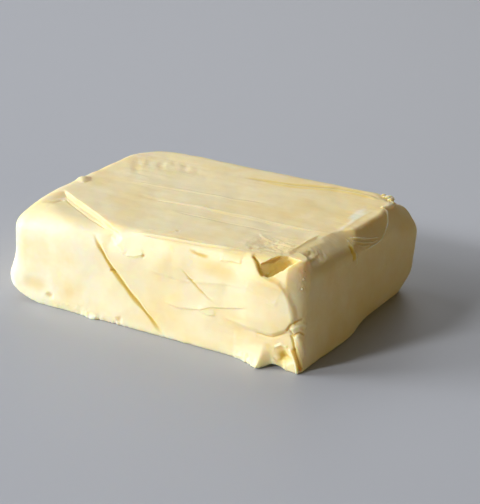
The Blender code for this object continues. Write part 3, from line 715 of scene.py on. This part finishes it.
def pathDistance(points, normals, mark):
    # signed distance from a path drawn on the surface (above it is positive) and
    # how far along the path, 0 to 1, the nearest place lies
    places = pathPlaces(mark)
    lengths = np.linalg.norm(places[1:] - places[:-1], axis=1)
    before = np.concatenate([[0.0], np.cumsum(lengths)])
    nearest = np.full(len(points), farAway)
    signed = np.full(len(points), farAway)
    travelled = np.zeros(len(points))
    for index, length in enumerate(lengths):
        direction = (places[index + 1] - places[index]) / length
        offset = points - places[index]
        along = np.clip(offset @ direction, 0.0, length)
        gap = offset - along[:, None] * direction
        lift = np.sum(gap * normals, axis=1)
        flat = gap - lift[:, None] * normals
        size = np.linalg.norm(flat, axis=1)
        size = np.where(np.abs(lift) < relief["offSurface"], size, farAway)
        side = np.sum(flat * np.cross(normals, direction), axis=1)
        better = size < nearest
        nearest = np.where(better, size, nearest)
        signed = np.where(better, np.where(side < 0.0, -size, size), signed)
        travelled = np.where(better, before[index] + along, travelled)
    return signed, travelled / before[-1]


def nearPath(points, mark, margin):
    # the points that a mark could touch, to save looking at the rest
    places = pathPlaces(mark)
    low, high = places.min(axis=0) - margin, places.max(axis=0) + margin
    return np.all((points > low) & (points < high), axis=1)


def markHeight(mark, points, normals):
    # one mark's relief, and how strongly painted shade, a deeper yellow, lies along it
    signed, travelled = pathDistance(points, normals, mark)
    taper = mark.get("taper", relief["taper"])
    ends = smooth(travelled / taper) * smooth((1.0 - travelled) / taper)
    kind, depth, width = mark["kind"], mark["depth"], mark["width"]
    if "swell" in mark:             # a cut that opens and closes along its length
        width = width * (1.0 + mark["swell"] * noiseAlong(travelled, *relief["swellNoise"]))
    yellow = mark.get("yellow", 1.0 if kind == "groove" else 0.0)
    markShade = yellow * depth * smooth(1.0 - np.abs(signed) / (relief["shadeReach"] * width)) * ends
    beside = smooth(1.0 - np.abs(signed) / width)
    if kind == "ledge":
        height = -depth * smooth(0.5 - 0.5 * signed / width) * (1.0 - smooth(-signed / mark["reach"]))
    elif kind == "sheet":
        height = depth * smooth(0.5 + signed / width) * blend(points[:, 0], *mark["fade"])
    elif kind == "flap":
        above = np.exp(-np.maximum(signed, 0.0) / mark["reach"])
        height = depth * np.where(signed > 0.0, above, 1.0 - smooth(-signed / width))
        height = np.where(signed > relief["flapReach"] * mark["reach"], 0.0, height)
    elif kind == "ridge":
        height = depth * beside
    else:
        height = -depth * beside
        if "lip" in mark:           # what the knife pushed up along one side
            fromLip = (signed - relief["lipPlace"] * width) / (relief["lipWidth"] * width)
            height = height + mark["lip"] * np.exp(-(fromLip ** 2))
    return height * ends, markShade


def markHeights(points, normals):
    # the height of all marks together, the painted shade laid in their hollows and the painted highlight on
    # their ridges
    height = np.zeros(len(points))
    shadePaint = np.zeros(len(points))
    raised = np.zeros(len(points))
    for mark in marks:
        reach = max(relief["margin"], relief["flapReach"] * mark.get("reach", 0.0))
        if mark["kind"] == "sheet":
            reach = relief["sheetMargin"]
        near = nearPath(points, mark, reach + mark["width"])
        own, markShade = markHeight(mark, points[near], normals[near])
        height[near] += own
        shadePaint[near] += markShade
        # ridges are painted paler: painted highlight
        if mark["kind"] == "ridge":
            raised[near] += own * mark.get("dry", 1.0)
    for face, place, radius, depth, _ in dents:
        away = np.linalg.norm(points - onFace(face, place), axis=1) / radius
        for index in np.nonzero(away < relief["dentRim"])[0]:       # an uneven rim
            rough = noise.noise(Vector(points[index]) / (relief["dentNoise"] * radius))
            away[index] *= 1.0 + relief["dentWander"] * rough
        own = depth * np.clip(1.0 - away ** 2, 0.0, 1.0) ** relief["dentCurve"]
        height -= own
        # small dents get painted shade
        if radius < relief["shadedRadius"]:
            shadePaint += own
    return height, np.clip(shadePaint, 0.0, None), np.clip(raised, 0.0, None)


def grainHeight(point):
    # hand-cut unevenness and knife streaks along X
    place = Vector(point)
    height = 0.0
    for most, scale, start in unevenness["lumps"]:
        height += most * noise.noise(place * scale + Vector(start))
    for most, along, across in unevenness["streaks"]:
        height += most * noise.noise(Vector((place.x * along, place.y * across, place.z * across)))
    return height


def tearHeight(point):
    # the rough patches: their relief, and how much of it is painted pale as painted highlight
    height, highlightPainted = 0.0, 0.0
    for centre, halfSize, most, scale, _, dry in tears["patches"]:
        over = [(point[axis] - centre[axis]) / halfSize[axis] for axis in range(3)]
        window = 1.0 - over[0] ** 2 - over[1] ** 2 - over[2] ** 2
        if window > 0.0:
            place = Vector(point) * scale
            torn = noise.noise(place + Vector(tears["noiseStart"]))
            torn += tears["fineShare"] * noise.noise(place * tears["fineScale"])
            own = math.sqrt(window) * most * (torn - tears["level"])
            height += own
            highlightPainted += max(0.0, own) * dry
    return height, highlightPainted


def pointTable(mesh):
    return np.array([vert.co[:] for vert in mesh.verts])


def normalTable(mesh):
    return np.array([vert.normal[:] for vert in mesh.verts])


def setPoints(mesh, points):
    for vert, place in zip(mesh.verts, points):
        vert.co = place
    mesh.normal_update()


def refineNearMarks(mesh):
    spots = list(refining["spots"])
    spots += [(onFace(face, place), radius, grain) for face, place, radius, _, grain in dents]
    for _ in range(refining["rounds"]):
        mesh.verts.index_update()
        mesh.normal_update()
        points, normals = shaped(pointTable(mesh)), normalTable(mesh)
        edges = mesh.edges[:]
        lengths = np.array([edge.calc_length() for edge in edges])
        firsts = np.array([edge.verts[0].index for edge in edges])
        seconds = np.array([edge.verts[1].index for edge in edges])
        wanted = np.zeros(len(edges), dtype=bool)

        def wantNear(close, grain):
            beside = np.minimum(close[firsts], close[seconds])
            wanted[(lengths > grain) & (beside < refining["near"] * lengths)] = True

        for mark in marks:
            close = np.full(len(points), farAway)
            near = nearPath(points, mark, mark["width"] + refining["margin"])
            signed, _ = pathDistance(points[near], normals[near], mark)
            close[near] = np.abs(signed) - refining["widths"] * mark["width"]
            wantNear(close, mark["grain"])
        for centre, radius, grain in spots:
            wantNear(np.linalg.norm(points - centre, axis=1) - radius, grain)
        for centre, halfSize, _, _, grain, _ in tears["patches"]:
            over = np.linalg.norm((points - centre) / halfSize, axis=1)
            wantNear((over - 1.0) * min(halfSize), grain)
        chosen = [edge for edge, isWanted in zip(edges, wanted) if isWanted]
        bmesh.ops.subdivide_edges(mesh, edges=chosen, cuts=1, use_grid_fill=True)
    mesh.normal_update()
    bmesh.ops.triangulate(mesh, faces=mesh.faces[:])


def objectFrom(mesh, name):
    bmesh.ops.recalc_face_normals(mesh, faces=mesh.faces)
    data = bpy.data.meshes.new(name)
    mesh.to_mesh(data)
    mesh.free()
    thing = bpy.data.objects.new(name, data)
    bpy.context.scene.collection.objects.link(thing)
    return thing


def frontHighlightShare(points, normals):
    # painted highlight: the side facing the front is painted paler, less so towards the right
    facing = blend(-normals[:, 1], *spread["frontLitFacing"])
    return facing * (1.0 - spread["frontLitLost"] * blend(points[:, 0], *spread["frontLitChange"]))


def margarineBody():
    mesh = griddedBox()
    refineNearMarks(mesh)
    flat = pointTable(mesh)
    setPoints(mesh, shaped(flat))
    points, normals = pointTable(mesh), normalTable(mesh)
    grain = np.array([grainHeight(place) for place in points])
    torn = np.array([tearHeight(place) for place in points])
    height, shadePaint, raised = markHeights(points, normals)
    height = height + grain * blend(points[:, 2], *unevenness["plateBand"]) + torn[:, 0]
    height = np.where(flat[:, 2] < onPlate, 0.0, height)
    moved = points + normals * height[:, None]
    moved[:, 2] = np.maximum(moved[:, 2], 0.0)
    setPoints(mesh, moved)
    mesh.verts.index_update()
    skin = {
        "tree": BVHTree.FromBMesh(mesh),
        "corners": [[vert.index for vert in face.verts] for face in mesh.faces],
        "points": moved,
        "shadePaint": shadePaint,
        "raised": raised + torn[:, 1],
        "frontHighlight": frontHighlightShare(points, normals),
    }
    print("block shaped,", len(mesh.faces), "faces")
    return objectFrom(mesh, "margarineBody"), skin


def chipCutter():
    mesh = bmesh.new()
    for corner in chip["mouth"] + chip["outside"] + chip["inside"]:
        mesh.verts.new(corner)
    bmesh.ops.convex_hull(mesh, input=mesh.verts)
    for _ in range(chip["rounds"]):
        longEdges = [edge for edge in mesh.edges if edge.calc_length() > chip["grain"]]
        bmesh.ops.subdivide_edges(mesh, edges=longEdges, cuts=1, use_grid_fill=True)
        bmesh.ops.triangulate(mesh, faces=mesh.faces[:])
    mesh.normal_update()
    for vert in mesh.verts:
        place = vert.co * chip["roughScale"]
        rough = noise.noise(place) + chip["fineShare"] * noise.noise(place * chip["fineScale"])
        vert.co += vert.normal * rough * chip["roughness"]
    return objectFrom(mesh, "chipCutter")


def crumbLump(index, place, size, turn):
    mesh = bmesh.new()
    bmesh.ops.create_icosphere(mesh, subdivisions=crumbs["subdivisions"], radius=1.0)
    seed = Vector((index * crumbs["noiseStep"], 2.0, 1.0))
    for vert in mesh.verts:
        knobs = crumbs["knobShare"] * noise.noise(vert.co * crumbs["knobScale"] + seed)
        swell = noise.noise(vert.co * crumbs["swellScale"] + seed) + knobs
        vert.co *= 1.0 + crumbs["roughness"] * swell
    bmesh.ops.scale(mesh, vec=size, verts=mesh.verts)
    bmesh.ops.transform(mesh, matrix=Matrix.Rotation(math.radians(turn), 4, "Z"), verts=mesh.verts)
    bmesh.ops.translate(mesh, vec=place, verts=mesh.verts)
    return objectFrom(mesh, "crumbLump" + str(index))


def applyBoolean(body, operation, other):
    change = body.modifiers.new(operation.lower(), "BOOLEAN")
    change.operation = operation
    change.solver = "EXACT"
    change.object = other
    view = bpy.context.evaluated_depsgraph_get()
    finished = bpy.data.meshes.new_from_object(body.evaluated_get(view))
    body.modifiers.clear()
    old = body.data
    body.data = finished
    bpy.data.meshes.remove(old)
    bpy.data.objects.remove(other, do_unlink=True)


def dropFins(mesh):
    # slivers that the merging left with an open edge, or folded flat on each other
    sharing = {}
    for face in mesh.faces:
        sharing.setdefault(frozenset(face.verts), []).append(face)
    fins = [face for group in sharing.values() if len(group) > 1 for face in group]
    fins += [face for face in mesh.faces if any(edge.is_boundary for edge in face.edges)]
    bmesh.ops.delete(mesh, geom=fins, context="FACES")


def paintPlaces(mesh, skin):
    # painted shade, painted highlight and the front's painted highlight at each place, kept for the paint
    paintedShade, paintedHighlight, frontHighlight = (mesh.verts.layers.float.new(name) for name in ("paintedShade", "paintedHighlight", "frontHighlight"))
    for vert in mesh.verts:
        place, normal, face, away = skin["tree"].find_nearest(vert.co)
        corner = min(skin["corners"][face], key=lambda index: math.dist(vert.co, skin["points"][index]))
        vert[frontHighlight] = skin["frontHighlight"][corner]
        if away < relief["onSkin"]:
            vert[paintedShade] = min(1.0, skin["shadePaint"][corner] / relief["deepest"])
            vert[paintedHighlight] = min(1.0, skin["raised"][corner] / relief["fullHighlight"])
        # inside the chip: painted shade
        elif (vert.co - place).dot(normal) < 0.0:
            vert[paintedShade] = min(chip["yellowInside"], chip["yellowAtLip"] + away / chip["yellowDepth"])
        # crumbs: painted highlight
        else:
            vert[paintedHighlight] = min(crumbs["highlightMost"], away / crumbs["highlightHeight"])


def finishMesh(body, skin):
    mesh = bmesh.new()
    mesh.from_mesh(body.data)
    bmesh.ops.remove_doubles(mesh, verts=mesh.verts, dist=mergeDistance)
    bmesh.ops.dissolve_degenerate(mesh, edges=mesh.edges, dist=mergeDistance)
    bmesh.ops.triangulate(mesh, faces=mesh.faces[:])
    dropFins(mesh)
    bmesh.ops.recalc_face_normals(mesh, faces=mesh.faces)
    paintPlaces(mesh, skin)
    bmesh.ops.translate(mesh, vec=(*block["centring"], 0.0), verts=mesh.verts)
    bmesh.ops.scale(mesh, vec=(millimetre, millimetre, millimetre), verts=mesh.verts)
    mesh.to_mesh(body.data)
    mesh.free()
    body.data.shade_smooth()


def hexColour(code):
    channels = [int(code[place:place + 2], 16) / 255.0 for place in (1, 3, 5)]
    linear = [((value + 0.055) / 1.055) ** 2.4 if value > 0.04045 else value / 12.92 for value in channels]
    return (linear[0], linear[1], linear[2], 1.0)


def addNode(tree, kind, settings=None, links=None):
    # settings: attribute or input name to value; links: input name to output socket
    node = tree.nodes.new(kind)
    for name, value in (settings or {}).items():
        if isinstance(name, str) and hasattr(node, name):
            setattr(node, name, value)
        else:
            node.inputs[name].default_value = value
    for name, socket in (links or {}).items():
        tree.links.new(socket, node.inputs[name])
    return node


def noised(tree, place, scale, detail, roughness):
    settings = {"Scale": scale, "Detail": detail, "Roughness": roughness}
    return addNode(tree, "ShaderNodeTexNoise", settings, {"Vector": place}).outputs["Fac"]


def ranged(tree, socket, source, target):
    # one range of values drawn onto another, held at its ends
    settings = {"From Min": source[0], "From Max": source[1], "To Min": target[0], "To Max": target[1]}
    return addNode(tree, "ShaderNodeMapRange", settings, {"Value": socket}).outputs["Result"]


def worked(tree, operation, first, second):
    settings = {"operation": operation, "use_clamp": True}
    return addNode(tree, "ShaderNodeMath", settings, {0: first, 1: second}).outputs["Value"]


def mixed(tree, factor, first, second):
    # two colours, each a hex code or the socket it comes from; the node's colour sockets
    # share their names with others, so they go by number
    node = addNode(tree, "ShaderNodeMix", {"data_type": "RGBA"}, {"Factor": factor})
    for index, colour in ((6, first), (7, second)):
        if isinstance(colour, str):
            node.inputs[index].default_value = hexColour(colour)
        else:
            tree.links.new(colour, node.inputs[index])
    return node.outputs[2]


def painted(tree, name):
    return addNode(tree, "ShaderNodeAttribute", {"attribute_name": name}).outputs["Fac"]


spread = {
    "paleFat": "#F7E5B6",           # the fat where light scatters freely
    "yellowFat": "#F1D892",         # denser, wetter patches
    "frontLitFat": "#F7EED1",          # painted highlight: the front, washed out by the lamps, is painted paler
    "shadedFat": "#E3C757",           # painted shade: the deeper yellow laid in cuts, folds and the chip
    "paleStreakAndHighlightFat": "#FBF1D6",            # pale knife streaks, and painted highlight on ridges, torn bits and crumbs
    "frontLitFacing": (0.35, 0.8),
    "frontLitLost": 0.6,
    "frontLitChange": (-45.0, 10.0),
    "patchSize": 13.0,              # mm across the yellow patches
    "patchRange": ((0.42, 0.68), (0.0, 0.75)),
    "patchCover": ((0.0, 0.75), (1.0, 0.3)),    # how much of the front's painted highlight shows on them
    "yellowWay": (0.8, 0.6, 0.0),   # the way in which the fat turns yellower, and how far
    "yellowRange": ((0.0, 0.062), (0.0, 1.0)),
    "streakSize": 1.5,              # mm between the finest knife streaks
    "streakStretch": (0.16, 1.0, 1.0),
    "broadStreaks": 0.25,
    "streakRange": ((0.35, 0.7), (0.0, 0.3)),
    "paintedShadeRange": ((0.12, 0.85), (0.0, 0.9)),
    "highlightRange": ((0.3, 1.0), (0.0, 0.85)),
    "glossRange": ((0.3, 0.7), (0.38, 0.58)),
    "fineBump": 0.08,               # mm
    "softBump": 0.25,
    "softSize": 4.0,
    "scatterDepth": 2.6,            # mm that red light travels inside
    "scatterColour": (0.9, 0.66, 0.28),
}


def margarineMaterial():
    # Vegetable spread, cut with a knife at fridge temperature: a pale fat with a soft waxy gloss that lets
    # light in a few millimetres; its yellow cuts are painted shade, its pale front and ridges painted
    # highlight.
    material = bpy.data.materials.new("cutMargarine")
    material.use_nodes = True
    tree = material.node_tree
    shader = tree.nodes["Principled BSDF"]
    place = addNode(tree, "ShaderNodeTexCoord").outputs["Object"]
    perMetre = 1.0 / millimetre
    streakScale = perMetre / spread["streakSize"]
    stretched = addNode(tree, "ShaderNodeMapping", {"Scale": spread["streakStretch"]}, {"Vector": place})
    drawn = stretched.outputs["Vector"]

    patchNoise = noised(tree, place, perMetre / spread["patchSize"], detail=3.0, roughness=0.55)
    patches = ranged(tree, patchNoise, *spread["patchRange"])
    way = {"operation": "DOT_PRODUCT", 1: spread["yellowWay"]}
    across = addNode(tree, "ShaderNodeVectorMath", way, {0: place}).outputs["Value"]
    rightward = ranged(tree, across, *spread["yellowRange"])
    colour = mixed(tree, worked(tree, "ADD", patches, rightward), spread["paleFat"], spread["yellowFat"])
    cover = ranged(tree, patches, *spread["patchCover"])
    # painted highlight: the front is painted paler
    frontHighlight = worked(tree, "MULTIPLY", painted(tree, "frontHighlight"), cover)
    colour = mixed(tree, frontHighlight, colour, spread["frontLitFat"])
    streakNoise = noised(tree, drawn, spread["broadStreaks"] * streakScale, detail=4.0, roughness=0.6)
    colour = mixed(tree, ranged(tree, streakNoise, *spread["streakRange"]), colour, spread["paleStreakAndHighlightFat"])
    # painted shade: deeper yellow in cuts, dents and the chip
    paintedShade = ranged(tree, painted(tree, "paintedShade"), *spread["paintedShadeRange"])
    colour = mixed(tree, paintedShade, colour, spread["shadedFat"])
    # painted highlight on ridges, torn bits and crumbs
    paintedHighlight = ranged(tree, painted(tree, "paintedHighlight"), *spread["highlightRange"])
    colour = mixed(tree, paintedHighlight, colour, spread["paleStreakAndHighlightFat"])
    tree.links.new(colour, shader.inputs["Base Color"])
    tree.links.new(ranged(tree, streakNoise, *spread["glossRange"]), shader.inputs["Roughness"])

    fineNoise = noised(tree, drawn, streakScale, detail=5.0, roughness=0.62)
    settings = {"Strength": 0.35, "Distance": spread["fineBump"] * millimetre}
    fineBump = addNode(tree, "ShaderNodeBump", settings, {"Height": fineNoise}).outputs["Normal"]
    softNoise = noised(tree, place, perMetre / spread["softSize"], detail=3.0, roughness=0.5)
    settings = {"Strength": 0.4, "Distance": spread["softBump"] * millimetre}
    softBump = addNode(tree, "ShaderNodeBump", settings, {"Height": softNoise, "Normal": fineBump})
    tree.links.new(softBump.outputs["Normal"], shader.inputs["Normal"])

    shader.inputs["IOR"].default_value = 1.46
    shader.inputs["Specular IOR Level"].default_value = 0.42
    shader.inputs["Subsurface Weight"].default_value = 1.0
    shader.inputs["Subsurface Radius"].default_value = spread["scatterColour"]
    shader.inputs["Subsurface Scale"].default_value = spread["scatterDepth"] * millimetre
    return material


def makeBlock():
    body, skin = margarineBody()
    applyBoolean(body, "DIFFERENCE", chipCutter())
    for index, piece in enumerate(crumbs["pieces"]):
        applyBoolean(body, "UNION", crumbLump(index, *piece))
    finishMesh(body, skin)
    body.data.materials.clear()
    body.data.materials.append(margarineMaterial())
    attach(body, "root")
    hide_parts("margarine_block")
    print("margarine block finished,", len(body.data.polygons), "triangles")


studio = {
    "lens": 107.14,                 # mm, on this width of sensor
    "sensorWidth": 36.0,
    "nearClip": 0.01,
    "target": (0.0058, 0.0090, 0.0126),
    "distance": 0.506,
    "pitch": 21.86,
    "yaw": -31.18,
    "roll": 0.50,
    "floor": "#B0B4BD",
    "floorRoughness": 0.5,
    "floorSize": 8.0,
    "lights": (
        # name, direction it comes from, distance and size in metres, watts, colour
        ("keyLight", (-0.47, -0.75, 0.47), 3.0, 0.53, 53.0, "#FFFFFF"),
        ("windowHigh", (-0.86, -0.08, 0.50), 2.0, 1.65, 15.0, "#FFFFFF"),
        ("windowLow", (-0.87, -0.41, 0.28), 2.0, 1.05, 33.5, "#FFFFFF"),
        ("backFill", (-0.28, 0.77, 0.57), 4.0, 3.7, 40.5, "#FFFFFF"),
        ("warmBounce", (0.92, -0.33, 0.21), 4.0, 2.1, 20.2, "#FFE6AE"),
    ),
    "skyColour": "#FFF0D8",
    "skyStrength": 0.01,
}


def makeFloor():
    mesh = bmesh.new()
    bmesh.ops.create_grid(mesh, x_segments=1, y_segments=1, size=0.5 * studio["floorSize"])
    floor = objectFrom(mesh, "studioFloor")
    material = bpy.data.materials.new("matPaintedBoard")    # plain pale board, no pattern
    material.use_nodes = True
    shader = material.node_tree.nodes["Principled BSDF"]
    shader.inputs["Base Color"].default_value = hexColour(studio["floor"])
    shader.inputs["Roughness"].default_value = studio["floorRoughness"]
    floor.data.materials.append(material)


def areaLight(name, direction, distance, size, power, colour):
    light = bpy.data.lights.new(name, "AREA")
    light.shape = "DISK"
    light.size = size
    light.energy = power
    light.color = hexColour(colour)[:3]
    lamp = bpy.data.objects.new(name, light)
    bpy.context.scene.collection.objects.link(lamp)
    toward = Vector(direction).normalized()
    lamp.location = toward * distance
    lamp.rotation_euler = toward.to_track_quat("Z", "Y").to_euler()


def makeStudio():
    for settings in studio["lights"]:
        areaLight(*settings)
    sky = bpy.data.worlds.new("softRoom")
    sky.use_nodes = True
    background = sky.node_tree.nodes["Background"]
    background.inputs["Color"].default_value = hexColour(studio["skyColour"])
    background.inputs["Strength"].default_value = studio["skyStrength"]
    bpy.context.scene.world = sky

    lens = bpy.data.cameras.new("tableCamera")
    lens.lens = studio["lens"]
    lens.sensor_width = studio["sensorWidth"]
    lens.clip_start = studio["nearClip"]
    camera = bpy.data.objects.new("tableCamera", lens)
    bpy.context.scene.collection.objects.link(camera)
    turn = (Matrix.Rotation(math.radians(-studio["yaw"]), 4, "Z")
            @ Matrix.Rotation(math.radians(90.0 - studio["pitch"]), 4, "X")
            @ Matrix.Rotation(math.radians(studio["roll"]), 4, "Z"))
    back = turn @ Vector((0.0, 0.0, studio["distance"]))
    camera.matrix_world = Matrix.Translation(Vector(studio["target"]) + back) @ turn
    bpy.context.scene.camera = camera
    bpy.context.scene.view_settings.view_transform = "Standard"


makeBlock()
makeFloor()
makeStudio()
print("studio ready")
